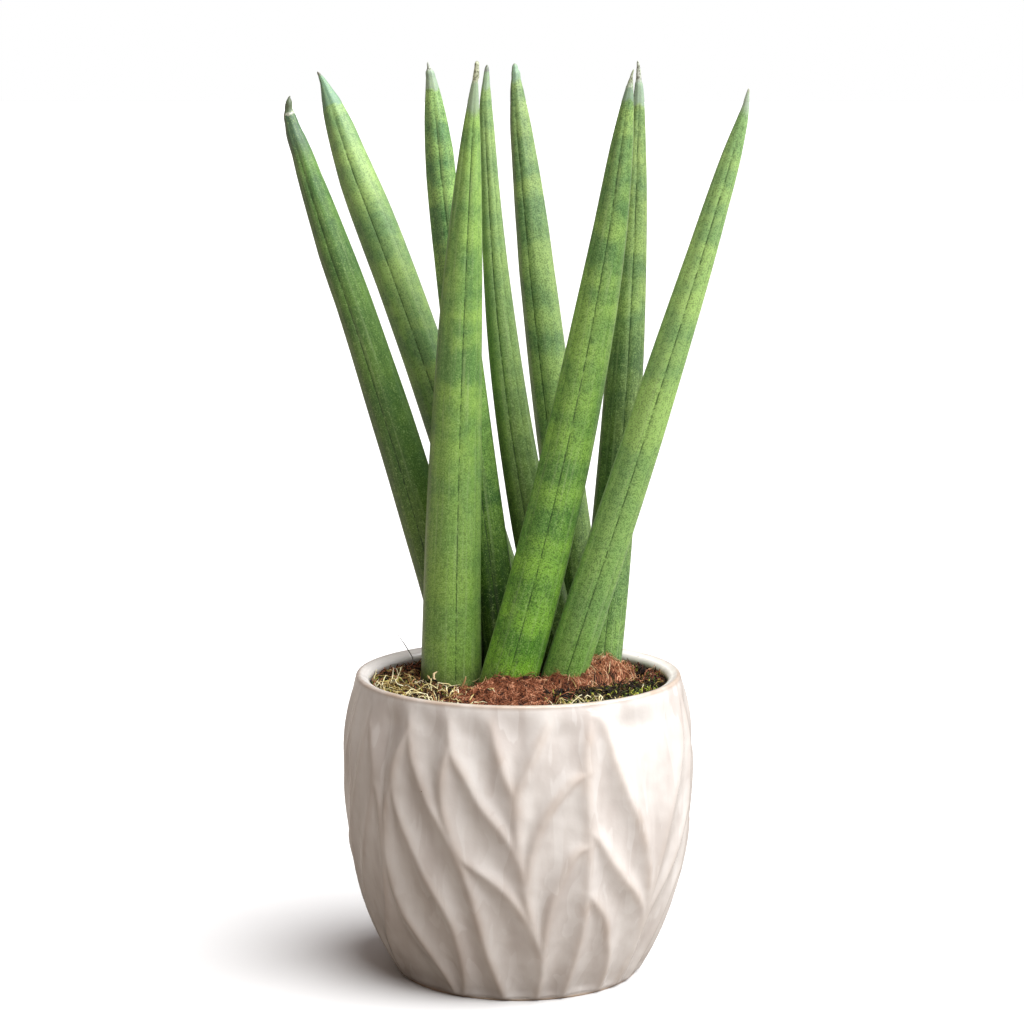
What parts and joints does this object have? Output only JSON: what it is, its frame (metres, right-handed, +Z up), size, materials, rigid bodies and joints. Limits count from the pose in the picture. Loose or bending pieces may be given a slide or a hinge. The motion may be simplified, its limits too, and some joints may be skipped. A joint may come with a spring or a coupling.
{
  "type": "potted snake plant",
  "caption": "Cylindrical snake plant: round, tapered, grooved leaves stand in soil dressed with coir and moss, in a round-bellied glazed stoneware pot with a raised leaf relief.",
  "frame": {"origin": "on the ground under the pot's axis, at the centre of the pot's flat base", "axes": "+Z up along the pot's axis, -Y towards the front of the picture, +X to its right"},
  "size_m": [0.174, 0.135, 0.349],
  "materials": {
    "glazed_stoneware": "warm off-white gloss glaze over stoneware, tan where it thins on the raised crests, unglazed base",
    "leaf": null,
    "potting_soil": null,
    "coir": "matted reddish-brown coconut fibre, matt",
    "moss": "dried and green moss with straw, matt"
  },
  "bodies": {
    "root": {"pot": "glazed_stoneware", "soil": "potting_soil", "coir_mat": "coir", "moss_left": "moss", "moss_right": "moss", "leaf_1": "leaf", "leaf_2": "leaf", "leaf_3": "leaf", "leaf_4": "leaf", "leaf_5": "leaf", "leaf_6": "leaf", "leaf_7": "leaf", "leaf_8": "leaf", "leaf_9": "leaf"}
  },
  "joints": []
}
